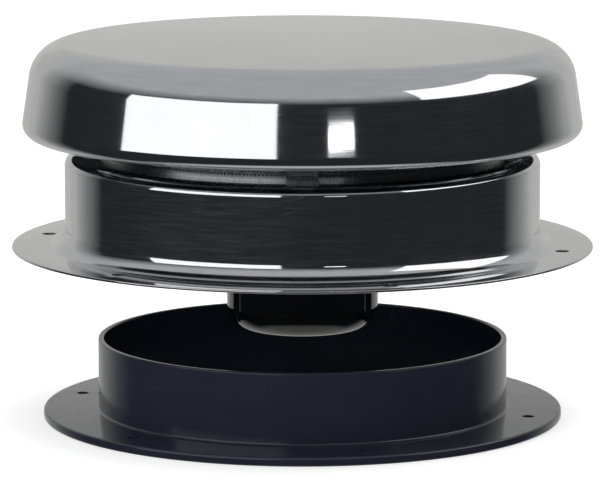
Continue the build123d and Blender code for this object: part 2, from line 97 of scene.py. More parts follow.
class VentSizes(bpy.types.PropertyGroup):
    """Sizes of the pieces that are modelled here, all the same as the frame's."""

    sheet: length("Sheet", "Thickness of the stainless sheet", 1.0)
    flange_radius: length("Flange radius", "Outer radius of the housing's flange", 115.0)
    flange_bend: length("Flange bend", "Bend between flange and wall", 7.0)
    wall_radius: length("Wall radius", "Outer radius of the housing's wall", 94.0)
    deck_height: length("Deck height", "Top of the deck above the roof", 37.1)
    deck_fall: length("Deck fall", "Fall from the deck's seat to its edge", 0.7)
    deck_seat: length("Deck seat", "Radius at which the deck starts to fall", 87.0)
    shoulder_bend: length("Shoulder bend", "Bend between wall and deck", 4.0)
    throat_radius: length("Throat radius", "Inner radius of the neck", 70.0)
    neck_height: length("Neck height", "Rise of the neck above the deck", 8.0)
    neck_bend: length("Neck bend", "Bend between deck and neck", 2.0)
    cap_radius: length("Cap radius", "Largest radius of the cap", 110.5)
    cap_rim: length("Cap rim", "Height of the cap's rim above the roof", 44.5)
    cap_shoulder: length("Cap shoulder", "Bend between the crown and the skirt", 15.0)
    cap_skirt: length("Cap skirt", "Straight length of the skirt", 18.6)
    cap_curl: length("Cap curl", "Bend of the curled rim", 5.0)
    cap_lip: length("Cap lip", "Flat lip inside the curled rim", 1.2)
    screen_radius: length("Screen radius", "Outer radius of the insect screen", 80.0)
    screen_sheet: length("Screen sheet", "Thickness of the perforated strip", 0.6)
    screen_pitch: length("Screen pitch", "Distance between the holes of the screen", 1.5)
    screen_hole: length("Screen hole", "Diameter of the holes of the screen", 0.95)
    ring_radius: length("Ring radius", "Outer radius of the ceiling ring", 103.0)
    ring_thickness: length("Ring thickness", "Thickness of the ceiling ring's flange", 3.5)
    collar_radius: length("Collar radius", "Outer radius of the collar", 81.2)
    collar_wall: length("Collar wall", "Wall of the collar", 2.3)
    roof_hole: length("Roof screw hole", "Diameter of the holes in the steel flange", 5.5)
    roof_circle: length("Roof screw circle", "Radius of the circle of the roof's screws", 104.0)
    ring_hole: length("Ring screw hole", "Diameter of the holes in the ceiling ring", 4.8)
    ring_circle: length("Ring screw circle", "Radius of the circle of the ceiling's screws", 92.0)
    segments: IntProperty(name="Segments", description="Steps round each turned piece", default=288, min=48)


class VentFinish(bpy.types.PropertyGroup):
    """Colours of the finishes."""

    steel: colour("Stainless", "Polished stainless steel", "#cdced0")
    brass: colour("Brass", "Turned brass", "#d9b25f")
    moulding: colour("Ring moulding", "Blue-black ABS of the ceiling ring", "#262836")
    phenolic: colour("Knob moulding", "Black phenolic of the knob", "#0a0b0d")
    rubber: colour("Rubber", "EPDM rubber of the seal", "#171717")
    nylon: colour("Nylon", "Natural nylon of the bush", "#d8d4c4")


def sizes():
    return bpy.context.scene.vent_sizes


def finish():
    return bpy.context.scene.vent_finish


# Materials

def add_node(tree, kind, settings=None, inputs=None, links=None):
    """Add one shader node, set its fields and sockets, and link its sockets to others."""
    node = tree.nodes.new(kind)
    for field, value in (settings or {}).items():
        setattr(node, field, value)
    for socket, value in (inputs or {}).items():
        node.inputs[socket].default_value = value
    for socket, source in (links or {}).items():
        tree.links.new(source, node.inputs[socket])
    return node


def blank_material(name):
    """An empty node material with only its output."""
    material = bpy.data.materials.new(name)
    material.use_nodes = True
    tree = material.node_tree
    tree.nodes.clear()
    output = add_node(tree, "ShaderNodeOutputMaterial")
    return material, tree, output


def rgba(rgb):
    return (rgb[0], rgb[1], rgb[2], 1.0)


def shade(rgb, factor):
    """The same colour, lighter or darker."""
    return tuple(min(1.0, channel * factor) for channel in rgb)


def spread(tree, source, low, high):
    """Map a grey pattern from 0 and 1 to the two values."""
    node = add_node(tree, "ShaderNodeMapRange", inputs={"To Min": low, "To Max": high},
                    links={"Value": source})
    return node.outputs["Result"]


def mottle(tree, place, spacing, detail=3.0):
    """Cloudy variation with patches of about the given size in metres."""
    noise = add_node(tree, "ShaderNodeTexNoise", inputs={"Scale": 1 / spacing, "Detail": detail},
                     links={"Vector": place})
    return noise.outputs["Fac"]


def object_place(tree):
    return add_node(tree, "ShaderNodeTexCoord").outputs["Object"]


def stretched(tree, place, scale):
    """The same place, squeezed or stretched along each axis."""
    node = add_node(tree, "ShaderNodeMapping", inputs={"Scale": scale}, links={"Vector": place})
    return node.outputs["Vector"]


def two_tone(tree, factor, dark, light):
    """Blend two colours by a grey pattern."""
    node = add_node(tree, "ShaderNodeMix", {"data_type": "RGBA"}, links={"Factor": factor})
    # The colour sockets of this node come after its number and vector sockets
    colour_sockets = [socket for socket in node.inputs if socket.type == "RGBA"]
    colour_sockets[0].default_value = rgba(dark)
    colour_sockets[1].default_value = rgba(light)
    return [socket for socket in node.outputs if socket.type == "RGBA"][0]


def threshold(tree, source, start, end):
    """A factor that rises from 0 to 1 between two values."""
    node = add_node(tree, "ShaderNodeMapRange", inputs={"From Min": start, "From Max": end},
                    links={"Value": source})
    return node.outputs["Result"]


def added(tree, first, second):
    """The sum of two numbers."""
    return add_node(tree, "ShaderNodeMath", {"operation": "ADD"}, links={0: first, 1: second}).outputs[0]


def polished_stainless(name, line_depth, groove_share):
    """Drawn 304 stainless sheet, buffed to a mirror.

    It gives sharp reflections that bend a little where the sheet was drawn, a faint haze and fine lines
    round the piece from the buffing wheel, and hairline scratches from handling.
    """
    material, tree, output = blank_material(name)
    place = object_place(tree)
    haze = mottle(tree, place, 18 * MM, 4.0)
    wave = mottle(tree, place, 45 * MM, 1.0)
    # The wheel's real lines are some hundredths of a millimetre apart, here they are wide enough to show
    lines = mottle(tree, stretched(tree, place, (0.05, 0.05, 1.0)), 0.7 * MM, 3.0)
    tilted = add_node(tree, "ShaderNodeMapping", inputs={"Rotation": (0.5, 0.3, 0.2)},
                      links={"Vector": place})
    hairs = mottle(tree, stretched(tree, tilted.outputs[0], (0.04, 1.0, 1.0)), 1.4 * MM, 2.0)
    roughness = added(tree, added(tree, spread(tree, haze, 0.02, 0.05), spread(tree, lines, 0.0, 0.05)),
                      spread(tree, threshold(tree, hairs, 0.7, 0.78), 0.0, 0.15))
    steel = finish().steel
    base = two_tone(tree, added(tree, spread(tree, haze, 0.0, 0.6), spread(tree, lines, -0.2, 0.5)),
                    shade(steel, 0.9), shade(steel, 1.03))
    bend = add_node(tree, "ShaderNodeBump", inputs={"Strength": 0.12, "Distance": 0.9 * MM},
                    links={"Height": wave})
    brushed = add_node(tree, "ShaderNodeBump", inputs={"Strength": 1.0, "Distance": line_depth},
                       links={"Height": lines, "Normal": bend.outputs["Normal"]})
    shader = add_node(tree, "ShaderNodeBsdfPrincipled", inputs={"Metallic": 1.0},
                      links={"Base Color": base, "Roughness": roughness,
                             "Normal": brushed.outputs["Normal"]})
    # The grooves that the wheel leaves scatter a small share of the light widely
    grooves = add_node(tree, "ShaderNodeBsdfPrincipled", inputs={"Metallic": 1.0, "Roughness": 0.42},
                       links={"Base Color": base})
    share = spread(tree, threshold(tree, lines, 0.42, 0.72), 0.01, groove_share)
    surface = add_node(tree, "ShaderNodeMixShader",
                       links={0: share, 1: shader.outputs[0], 2: grooves.outputs[0]})
    tree.links.new(surface.outputs[0], output.inputs["Surface"])
    return material


def mill_stainless(name, lay, tone=1.0):
    """Cold-rolled stainless strip as it comes from the mill, cut and bent.

    It gives a soft grey gloss with fine rolling lines along the strip.
    """
    material, tree, output = blank_material(name)
    place = object_place(tree)
    lines = mottle(tree, stretched(tree, place, lay), 1.2 * MM, 2.0)
    cloud = mottle(tree, place, 9 * MM)
    steel = finish().steel
    # A tone below 1 darkens the whole strip; the insect screen uses it as painted shade.
    base = two_tone(tree, cloud, shade(steel, 0.78 * tone), shade(steel, 0.95 * tone))
    bump = add_node(tree, "ShaderNodeBump", inputs={"Strength": 0.15, "Distance": 0.03 * MM},
                    links={"Height": lines})
    shader = add_node(tree, "ShaderNodeBsdfPrincipled", inputs={"Metallic": 1.0},
                      links={"Base Color": base, "Roughness": spread(tree, lines, 0.18, 0.34),
                             "Normal": bump.outputs["Normal"]})
    tree.links.new(shader.outputs[0], output.inputs["Surface"])
    return material


def turned_metal(name, rgb, rough_low, rough_high):
    """Bar turned on a lathe.

    It gives fine rings round the axis and a slightly duller tool finish between them.
    """
    material, tree, output = blank_material(name)
    place = object_place(tree)
    rings = mottle(tree, stretched(tree, place, (0.2, 0.2, 6.0)), 1.5 * MM, 2.0)
    base = two_tone(tree, rings, shade(rgb, 0.8), shade(rgb, 1.0))
    bump = add_node(tree, "ShaderNodeBump", inputs={"Strength": 0.2, "Distance": 0.02 * MM},
                    links={"Height": rings})
    shader = add_node(tree, "ShaderNodeBsdfPrincipled", inputs={"Metallic": 1.0},
                      links={"Base Color": base, "Roughness": spread(tree, rings, rough_low, rough_high),
                             "Normal": bump.outputs["Normal"]})
    tree.links.new(shader.outputs[0], output.inputs["Surface"])
    return material


def moulded_abs():
    """Injection-moulded ABS, dyed blue-black.

    It gives a clear but soft gloss, faint lines round the collar from the turned mould, and pale scuffs
    from handling.
    """
    material, tree, output = blank_material("moulded_black_abs")
    place = object_place(tree)
    flow = mottle(tree, stretched(tree, place, (1.0, 1.0, 3.0)), 22 * MM)
    scuff = mottle(tree, place, 3 * MM, 6.0)
    lines = mottle(tree, stretched(tree, place, (0.05, 0.05, 1.0)), 0.8 * MM, 3.0)
    tone = finish().moulding
    base = two_tone(tree, flow, shade(tone, 0.85), shade(tone, 1.2))
    roughness = added(tree, spread(tree, flow, 0.12, 0.17),
                      spread(tree, threshold(tree, scuff, 0.5, 0.75), 0.0, 0.12))
    bump = add_node(tree, "ShaderNodeBump", inputs={"Strength": 0.5, "Distance": 0.02 * MM},
                    links={"Height": lines})
    shader = add_node(tree, "ShaderNodeBsdfPrincipled", inputs={"IOR": 1.54},
                      links={"Base Color": base, "Roughness": roughness,
                             "Normal": bump.outputs["Normal"]})
    tree.links.new(shader.outputs[0], output.inputs["Surface"])
    return material


def pressed_phenolic():
    """Phenolic pressed in a polished mould.

    It gives deep black with sharp, slightly rippled highlights and a little dust haze.
    """
    material, tree, output = blank_material("gloss_black_phenolic")
    place = object_place(tree)
    ripple = mottle(tree, place, 7 * MM, 1.0)
    dust = mottle(tree, place, 1.5 * MM, 5.0)
    tone = finish().phenolic
    base = two_tone(tree, dust, shade(tone, 0.8), shade(tone, 1.6))
    bump = add_node(tree, "ShaderNodeBump", inputs={"Strength": 0.08, "Distance": 0.3 * MM},
                    links={"Height": ripple})
    shader = add_node(tree, "ShaderNodeBsdfPrincipled", inputs={"IOR": 1.6},
                      links={"Base Color": base, "Roughness": spread(tree, dust, 0.04, 0.14),
                             "Normal": bump.outputs["Normal"]})
    tree.links.new(shader.outputs[0], output.inputs["Surface"])
    return material


def soft_plastic(name, rgb, rough_low, rough_high, ior):
    """Moulded rubber or nylon.

    It gives a matt or waxy surface, a little uneven in tone.
    """
    material, tree, output = blank_material(name)
    place = object_place(tree)
    cloud = mottle(tree, place, 4 * MM, 4.0)
    base = two_tone(tree, cloud, shade(rgb, 0.8), shade(rgb, 1.15))
    bump = add_node(tree, "ShaderNodeBump", inputs={"Strength": 0.2, "Distance": 0.05 * MM},
                    links={"Height": cloud})
    shader = add_node(tree, "ShaderNodeBsdfPrincipled", inputs={"IOR": ior},
                      links={"Base Color": base, "Roughness": spread(tree, cloud, rough_low, rough_high),
                             "Normal": bump.outputs["Normal"]})
    tree.links.new(shader.outputs[0], output.inputs["Surface"])
    return material


# Meshes

def trace_line(start, heading, moves, step=math.radians(4)):
    """Follow runs and bends from a start, and give each point with the direction to its left.

    A move is ("run", length) or ("bend", radius, turn), and a positive turn goes to the left.
    """
    radius, height = start
    points = [(radius, height, -math.sin(heading), math.cos(heading))]
    for move in moves:
        if move[0] == "run":
            radius += move[1] * math.cos(heading)
            height += move[1] * math.sin(heading)
            points.append((radius, height, -math.sin(heading), math.cos(heading)))
            continue
        bend, turn = move[1], move[2]
        side = math.copysign(1, turn)
        centre_r = radius - side * bend * math.sin(heading)
        centre_z = height + side * bend * math.cos(heading)
        count = max(2, math.ceil(abs(turn) / step))
        for index in range(1, count + 1):
            angle = heading + turn * index / count
            points.append((centre_r + side * bend * math.sin(angle), centre_z - side * bend * math.cos(angle),
                           -math.sin(angle), math.cos(angle)))
        heading += turn
        radius, height = points[-1][0], points[-1][1]
    return points


def sheet_outline(points, thickness):
    """Close a traced line into a band of sheet that lies to its left."""
    face = [(point[0], point[1]) for point in points]
    back = [(point[0] + thickness * point[2], point[1] + thickness * point[3]) for point in points]
    return face + back[::-1]


def new_piece(name, mesh, material, body, *nodes):
    """Link a mesh as a piece that rides on a body and stands for CAD nodes."""
    mesh.validate()
    piece = bpy.data.objects.new(name, mesh)
    bpy.context.scene.collection.objects.link(piece)
    mesh.materials.clear()
    mesh.materials.append(material)
    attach(piece, body)
    if nodes:
        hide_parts(*nodes)
    return piece


def crease(mesh, limit=math.radians(28)):
    """Shade smooth, and keep edges sharper than the limit as corners."""
    work = bmesh.new()
    work.from_mesh(mesh)
    bmesh.ops.remove_doubles(work, verts=work.verts, dist=1e-7)
    bmesh.ops.recalc_face_normals(work, faces=work.faces)
    for face in work.faces:
        face.smooth = True
    for edge in work.edges:
        edge.smooth = len(edge.link_faces) != 2 or edge.calc_face_angle(0.0) < limit
    work.to_mesh(mesh)
    work.free()


def lathe_mesh(name, outline, segments):
    """Turn a closed outline of radius and height round the Z axis."""
    rings = len(outline)
    vertices = []
    for step in range(segments):
        angle = FULL_TURN * step / segments
        cosine, sine = math.cos(angle), math.sin(angle)
        vertices.extend((radius * cosine, radius * sine, height) for radius, height in outline)
    faces = []
    for step in range(segments):
        here = step * rings
        there = (step + 1) % segments * rings
        for index in range(rings):
            after = (index + 1) % rings
            on_axis = outline[index][0] < 1e-7 and outline[after][0] < 1e-7
            if not on_axis:
                faces.append((here + index, here + after, there + after, there + index))
    mesh = bpy.data.meshes.new(name)
    mesh.from_pydata(vertices, [], faces)
    work = bmesh.new()
    work.from_mesh(mesh)
    bmesh.ops.remove_doubles(work, verts=work.verts, dist=1e-7)
    bmesh.ops.dissolve_degenerate(work, edges=work.edges, dist=1e-8)
    work.to_mesh(mesh)
    work.free()
    crease(mesh)
    return mesh


def cut_holes(mesh, name, cutter_outline, radius, count, first):
    """Cut a circle of like holes, the first at an angle from the front towards the right."""
    target = bpy.data.objects.new(name + "_blank", mesh)
    bpy.context.scene.collection.objects.link(target)
    cutter_mesh = lathe_mesh(name + "_cutter", cutter_outline, 40)
    join = bmesh.new()
    for index in range(count):
        angle = math.radians(first) + FULL_TURN * index / count
        copy = cutter_mesh.copy()
        copy.transform(Matrix.Translation((radius * math.sin(angle), -radius * math.cos(angle), 0)))
        join.from_mesh(copy)
        bpy.data.meshes.remove(copy)
    joined = bpy.data.meshes.new(name + "_cutters")
    join.to_mesh(joined)
    join.free()
    cutter = bpy.data.objects.new(name + "_cutters", joined)
    bpy.context.scene.collection.objects.link(cutter)
    modifier = target.modifiers.new("holes", "BOOLEAN")
    modifier.object = cutter
    modifier.solver = "EXACT"
    depsgraph = bpy.context.evaluated_depsgraph_get()
    depsgraph.update()
    result = bpy.data.meshes.new_from_object(target.evaluated_get(depsgraph))
    result.name = name
    bpy.data.objects.remove(target)
    bpy.data.objects.remove(cutter)
    bpy.data.meshes.remove(cutter_mesh)
    crease(result)
    return result


def housing_line(s):
    """The upper face of the housing's sheet, from the flange's edge in to the top of the neck."""
    fall = math.atan2(s.deck_fall, s.wall_radius - s.deck_seat)
    shoulder_turn = math.pi / 2 - fall
    shoulder_reach = s.shoulder_bend * math.tan(shoulder_turn / 2)
    seat_reach = s.shoulder_bend * math.tan(fall / 2)
    slope = math.hypot(s.deck_fall, s.wall_radius - s.deck_seat)
    neck = s.throat_radius + s.sheet
    moves = [
        ("run", s.flange_radius - s.wall_radius - s.flange_bend),
        ("bend", s.flange_bend, -math.pi / 2),
        ("run", s.deck_height - s.deck_fall - s.sheet - s.flange_bend - shoulder_reach),
        ("bend", s.shoulder_bend, shoulder_turn),
        ("run", slope - shoulder_reach - seat_reach),
        ("bend", s.shoulder_bend, fall),
        ("run", s.deck_seat - neck - seat_reach - s.neck_bend),
        ("bend", s.neck_bend, -math.pi / 2),
        ("run", s.neck_height - s.neck_bend),
    ]
    return trace_line((s.flange_radius, s.sheet), math.pi, moves)


FLARE = math.radians(8.6)
CROWN_SLOPE = math.radians(2.05)


def cap_sizes(s):
    """Radius where the crown ends, radius of its ball, and the height of its middle."""
    edge = (s.cap_radius - s.cap_curl * (1 - math.cos(FLARE)) - s.cap_skirt * math.sin(FLARE)
            - s.cap_shoulder * (math.cos(FLARE) - math.sin(CROWN_SLOPE)))
    ball = edge / math.sin(CROWN_SLOPE)
    top = (s.cap_rim + s.cap_curl * (1 + math.sin(FLARE)) + s.cap_skirt * math.cos(FLARE)
           + s.cap_shoulder * (math.cos(CROWN_SLOPE) - math.sin(FLARE)) + ball * (1 - math.cos(CROWN_SLOPE)))
    return edge, ball, top


def cap_line(s):
    """The upper face of the cap's sheet, from the middle of the crown out to the lip."""
    edge, ball, top = cap_sizes(s)
    moves = [
        ("bend", ball, -CROWN_SLOPE),
        ("bend", s.cap_shoulder, CROWN_SLOPE + FLARE - math.pi / 2),
        ("run", s.cap_skirt),
        ("bend", s.cap_curl, -math.pi / 2 - FLARE),
        ("run", s.cap_lip),
    ]
    return trace_line((0.0, top), 0.0, moves, math.radians(2.05 / 12))


def thin_out(points, gap):
    """Leave out points that lie closer to the last one kept than the gap."""
    kept = [points[0]]
    for point in points[1:-1]:
        if math.hypot(point[0] - kept[-1][0], point[1] - kept[-1][1]) >= gap:
            kept.append(point)
    return kept + [points[-1]]


def eased_edge(outline, s):
    """Round the flange's outer edge a little, as it is after deburring."""
    ease = 0.35 * MM
    top = [(s.flange_radius - ease * (1 - math.sin(angle)), s.sheet - ease * (1 - math.cos(angle)))
           for angle in (0, math.pi / 8, math.pi / 4, 3 * math.pi / 8, math.pi / 2)]
    bottom = [(radius, s.sheet - height) for radius, height in top[::-1]]
    return top[::-1] + outline[1:-1] + bottom[::-1]


def screw_places(s):
    """Middles of the roof's screw holes."""
    angles = [math.radians(ROOF_FIRST_SCREW) + FULL_TURN * index / SCREWS for index in range(SCREWS)]
    return [(s.roof_circle * math.sin(angle), -s.roof_circle * math.cos(angle)) for angle in angles]


class VENT_OT_housing(bpy.types.Operator):
    """Make the drawn housing with its flange, wall, deck and neck"""

    bl_idname = "vent.housing"
    bl_label = "Housing"

    def execute(self, context):
        s = sizes()
        outline = eased_edge(sheet_outline(housing_line(s), s.sheet), s)
        mesh = lathe_mesh("housing_shell", outline, s.segments)
        hole = s.roof_hole / 2
        cutter = [(0, -2 * s.sheet), (hole, -2 * s.sheet), (hole, 3 * s.sheet), (0, 3 * s.sheet)]
        mesh = cut_holes(mesh, "housing_shell", cutter, s.roof_circle, SCREWS, ROOF_FIRST_SCREW)
        steel = polished_stainless("polished_drawn_sheet", 0.004 * MM, 0.11)
        shell = new_piece("housing_shell", mesh, steel, "vent", "housing")
        shell.data.materials.append(mill_stainless("punched_stainless_edge", (1.0, 1.0, 0.1)))
        for face in shell.data.polygons:
            from_hole = min(math.hypot(face.center.x - x, face.center.y - y) for x, y in screw_places(s))
            if from_hole < hole and abs(face.normal.z) < 0.5:
                face.material_index = 1
        return {"FINISHED"}


class VENT_OT_cap(bpy.types.Operator):
    """Make the domed cap with its curled rim"""

    bl_idname = "vent.cap"
    bl_label = "Cap"

    def execute(self, context):
        s = sizes()
        line = thin_out(cap_line(s), 0.35 * MM)
        outline = sheet_outline(line, -s.sheet)
        mesh = lathe_mesh("cap_shell", outline, s.segments)
        steel = polished_stainless("polished_cap_sheet", 0.002 * MM, 0.05)
        new_piece("cap_shell", mesh, steel, "vent", "cap")
        return {"FINISHED"}


class VENT_OT_screen(bpy.types.Operator):
    """Make the perforated insect screen and dress its rivets"""

    bl_idname = "vent.screen"
    bl_label = "Insect screen"

    def execute(self, context):
        s = sizes()
        low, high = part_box("insect_screen")
        bottom, top = low.z, high.z
        margin = 1.1 * MM
        row_step = s.screen_pitch * math.sqrt(3) / 2
        rows = int((top - bottom - 2 * margin) / row_step)
        columns = int(FULL_TURN * s.screen_radius / s.screen_pitch)
        first_row = bottom + (top - bottom - (rows - 1) * row_step) / 2
        cell = s.screen_pitch / math.sqrt(3)
        hole = s.screen_hole / 2
        vertices = []
        faces = []

        def on_ring(arc, height, inset=0.0):
            angle = arc / s.screen_radius
            radius = s.screen_radius - inset
            return (radius * math.sin(angle), -radius * math.cos(angle), height)

        lap = math.radians(LAP_MIDDLE) * s.screen_radius
        lap_half = 6 * MM
        around = FULL_TURN * s.screen_radius
        pitch = around / columns
        for row in range(rows):
            height = first_row + row * row_step
            for column in range(columns):
                arc = (column + 0.5 * (row % 2)) * pitch
                start = len(vertices)
                plain = abs(arc - lap) < lap_half
                for corner in range(6):
                    angle = math.pi / 6 + corner * math.pi / 3
                    across = math.cos(angle) * cell * pitch / s.screen_pitch
                    vertices.append(on_ring(arc + across, height + math.sin(angle) * cell))
                if plain:
                    faces.append(tuple(start + corner for corner in range(6)))
                    continue
                for corner in range(6):
                    angle = math.pi / 6 + corner * math.pi / 3
                    vertices.append(on_ring(arc + math.cos(angle) * hole, height + math.sin(angle) * hole))
                for corner in range(6):
                    after = (corner + 1) % 6
                    faces.append((start + corner, start + after, start + 6 + after, start + 6 + corner))
        edge_low = first_row - cell / 2
        edge_high = first_row + (rows - 1) * row_step + cell / 2
        for column in range(columns):
            left, right = (column - 0.5) * pitch, (column + 0.5) * pitch
            start = len(vertices)
            vertices += [on_ring(left, bottom), on_ring(right, bottom), on_ring(right, edge_low),
                         on_ring(column * pitch, edge_low - cell / 2), on_ring(left, edge_low)]
            faces.append(tuple(range(start, start + 5)))
            shift = 0.5 * ((rows - 1) % 2) * pitch
            start = len(vertices)
            vertices += [on_ring(left + shift, edge_high),
                         on_ring(column * pitch + shift, edge_high + cell / 2),
                         on_ring(right + shift, edge_high), on_ring(right + shift, top),
                         on_ring(left + shift, top)]
            faces.append(tuple(range(start, start + 5)))
        mesh = bpy.data.meshes.new("screen_strip")
        mesh.from_pydata(vertices, [], faces)
        work = bmesh.new()
        work.from_mesh(mesh)
        bmesh.ops.remove_doubles(work, verts=work.verts, dist=0.02 * MM)
        bmesh.ops.recalc_face_normals(work, faces=work.faces)
        bmesh.ops.solidify(work, geom=work.faces[:], thickness=s.screen_sheet)
        work.to_mesh(mesh)
        work.free()
        crease(mesh)
        # The strip's steel is drawn at half tone, darker than the other mill-finished pieces: painted shade
        # for the dim gap under the cap.
        steel = mill_stainless("perforated_stainless_strip", (1.0, 1.0, 0.2), 0.5)
        new_piece("screen_strip", mesh, steel, "vent", "insect_screen")
        lap_outline = [(s.screen_radius, bottom), (s.screen_radius + s.screen_sheet, bottom),
                       (s.screen_radius + s.screen_sheet, top), (s.screen_radius, top)]
        lap_mesh = sector_mesh("screen_lap", lap_outline, LAP_MIDDLE, lap_half / s.screen_radius, 12)
        new_piece("screen_lap", lap_mesh, steel, "vent")
        dress("screen_rivets", turned_metal("bright_aluminium_rivet", linear("#cfd0d2"), 0.2, 0.32))
        return {"FINISHED"}


def sector_mesh(name, outline, middle, half_angle, steps):
    """Turn a closed outline through a part of a turn, with flat ends."""
    rings = len(outline)
    vertices = []
    faces = []
    for step in range(steps + 1):
        angle = math.radians(middle) + half_angle * (2 * step / steps - 1)
        vertices.extend((r * math.sin(angle), -r * math.cos(angle), z) for r, z in outline)
    for step in range(steps):
        for index in range(rings):
            after = (index + 1) % rings
            here, there = step * rings, (step + 1) * rings
            faces.append((here + index, here + after, there + after, there + index))
    faces.append(tuple(range(rings)))
    faces.append(tuple(range(steps * rings, (steps + 1) * rings)))
    mesh = bpy.data.meshes.new(name)
    mesh.from_pydata(vertices, [], faces)
    crease(mesh)
    return mesh


def dress(node, material):
    """Give a CAD node its finish and keep its shape."""
    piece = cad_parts[node]
    piece.data.materials.clear()
    piece.data.materials.append(material)


class VENT_OT_legs(bpy.types.Operator):
    """Dress the legs that carry the cap"""

    bl_idname = "vent.legs"
    bl_label = "Cap legs"

    def execute(self, context):
        material = mill_stainless("bent_stainless_strip", (1.0, 1.0, 0.15))
        for node in sorted(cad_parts):
            if node.startswith("cap_leg"):
                dress(node, material)
        return {"FINISHED"}


class VENT_OT_bridge(bpy.types.Operator):
    """Dress the bridge, its rivets and the spindle nut"""

    bl_idname = "vent.bridge"
    bl_label = "Bridge"

    def execute(self, context):
        dress("bridge", mill_stainless("rolled_stainless_bar", (0.15, 1.0, 1.0)))
        dress("bridge_rivets", turned_metal("stainless_rivet", linear("#c4c5c7"), 0.22, 0.34))
        dress("spindle_nut", turned_metal("turned_brass", finish().brass, 0.16, 0.3))
        return {"FINISHED"}


class VENT_OT_spindle(bpy.types.Operator):
    """Dress the spindle, its nuts, washers and clip"""

    bl_idname = "vent.spindle"
    bl_label = "Spindle"

    def execute(self, context):
        zinc = turned_metal("turned_bright_steel", linear("#bdbec0"), 0.2, 0.32)
        for node in ("spindle", "stop_nut", "retaining_clip", "upper_washer", "lower_washer"):
            dress(node, zinc)
        return {"FINISHED"}


class VENT_OT_valve(bpy.types.Operator):
    """Dress the closing disc, its seal and its bush"""

    bl_idname = "vent.valve"
    bl_label = "Closing valve"

    def execute(self, context):
        f = finish()
        dress("closing_disc", mill_stainless("pressed_stainless_disc", (1.0, 1.0, 1.0)))
        dress("disc_seal", soft_plastic("epdm_rubber", f.rubber, 0.6, 0.8, 1.5))
        dress("disc_bush", soft_plastic("natural_nylon", f.nylon, 0.35, 0.5, 1.53))
        return {"FINISHED"}


class VENT_OT_knob(bpy.types.Operator):
    """Dress the knob, its insert and its locknut"""

    bl_idname = "vent.knob"
    bl_label = "Knob"

    def execute(self, context):
        dress("knob", pressed_phenolic())
        dress("knob_insert", turned_metal("brass_insert", finish().brass, 0.18, 0.3))
        dress("knob_locknut", turned_metal("plated_locknut", linear("#bdbec0"), 0.2, 0.32))
        return {"FINISHED"}


class VENT_OT_ring(bpy.types.Operator):
    """Make the black ceiling ring"""

    bl_idname = "vent.ring"
    bl_label = "Ceiling ring"

    def execute(self, context):
        s = sizes()
        low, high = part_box("ceiling_ring")
        inner = s.collar_radius - s.collar_wall
        edge = 1.0 * MM
        root = 1.0 * MM
        lip = 0.6 * MM
        flange_top = low.z + s.ring_thickness
        quarter = math.pi / 2
        line = trace_line(
            (inner, low.z), 0.0,
            [("run", s.ring_radius - inner - edge), ("bend", edge, quarter),
             ("run", s.ring_thickness - 2 * edge), ("bend", edge, quarter),
             ("run", s.ring_radius - edge - s.collar_radius - root), ("bend", root, -quarter),
             ("run", high.z - flange_top - root - lip), ("bend", lip, quarter),
             ("run", s.collar_wall - 2 * lip), ("bend", lip, quarter)], math.radians(12))
        outline = [(point[0], point[1]) for point in line]
        mesh = lathe_mesh("ceiling_ring_moulding", outline, s.segments)
        hole = s.ring_hole / 2
        head = 4.3 * MM
        under = low.z - 5 * MM
        over = flange_top + 5 * MM
        cutter = [(0, under), (head + (low.z - under), under), (hole, low.z + head - hole), (hole, over),
                  (0, over)]
        mesh = cut_holes(mesh, "ceiling_ring_moulding", cutter, s.ring_circle, SCREWS, RING_FIRST_SCREW)
        new_piece("ceiling_ring_moulding", mesh, moulded_abs(), "ceiling_ring", "ceiling_ring")
        return {"FINISHED"}


# Studio

BALL_RADIUS = 1.4
ROOM_RADIUS = 1.6
BALL_CENTRE = Vector((0.0, 0.0, 0.05))


def on_ball(azimuth, elevation, radius):
    """A point of the ball, by degrees from the back towards the left, and above the horizon."""
    a, e = math.radians(azimuth), math.radians(elevation)
    return radius * Vector((-math.sin(a) * math.cos(e), math.cos(a) * math.cos(e), math.sin(e)))


def emitting(tree, output, tone, strength):
    """End a card's material as a light of its own tone."""
    glow = add_node(tree, "ShaderNodeEmission", inputs={"Strength": strength}, links={"Color": tone})
    tree.links.new(glow.outputs[0], output.inputs["Surface"])


def colour_ramp(tree, factor, stops):
    """Colours at places from 0 to 1."""
    node = add_node(tree, "ShaderNodeValToRGB", links={"Fac": factor})
    marks = node.color_ramp.elements
    while len(marks) < len(stops):
        marks.new(1.0)
    for mark, (place, tone) in zip(marks, stops):
        mark.position = place
        mark.color = rgba(linear(tone))
    return node.outputs["Color"]


def azimuth_ramp(tree, place, stops):
    """Colours round the ventilator, by degrees from the back towards the left."""
    turned = add_node(tree, "ShaderNodeMapping", inputs={"Rotation": (0, 0, -math.pi / 2)},
                      links={"Vector": place})
    round_axis = add_node(tree, "ShaderNodeTexGradient", {"gradient_type": "RADIAL"},
                          links={"Vector": turned.outputs[0]})
    return colour_ramp(tree, round_axis.outputs["Fac"], [(az / 360 + 0.5, tone) for az, tone in stops])


def mixed(tree, factor, low, high):
    """Pass from one colour to another, each a socket or a plain hex colour."""
    node = add_node(tree, "ShaderNodeMix", {"data_type": "RGBA"}, links={"Factor": factor})
    sockets = [socket for socket in node.inputs if socket.type == "RGBA"]
    for socket, tone in zip(sockets, (low, high)):
        if isinstance(tone, str):
            socket.default_value = rgba(linear(tone))
        else:
            tree.links.new(tone, socket)
    return [socket for socket in node.outputs if socket.type == "RGBA"][0]


# A plain studio: a pale backdrop behind the ventilator, a dark room behind the camera, a pale ceiling.
# Degrees from the back towards the left, then the colour.
ROOM_TONES = [(-180, "#2c2e32"), (-70, "#2c2e32"), (-40, "#c8c8c6"), (40, "#c8c8c6"), (70, "#2c2e32"),
              (180, "#2c2e32")]
CEILING_TONE = "#c4c6c8"
PAPER_BELOW = "#d0d0ce"
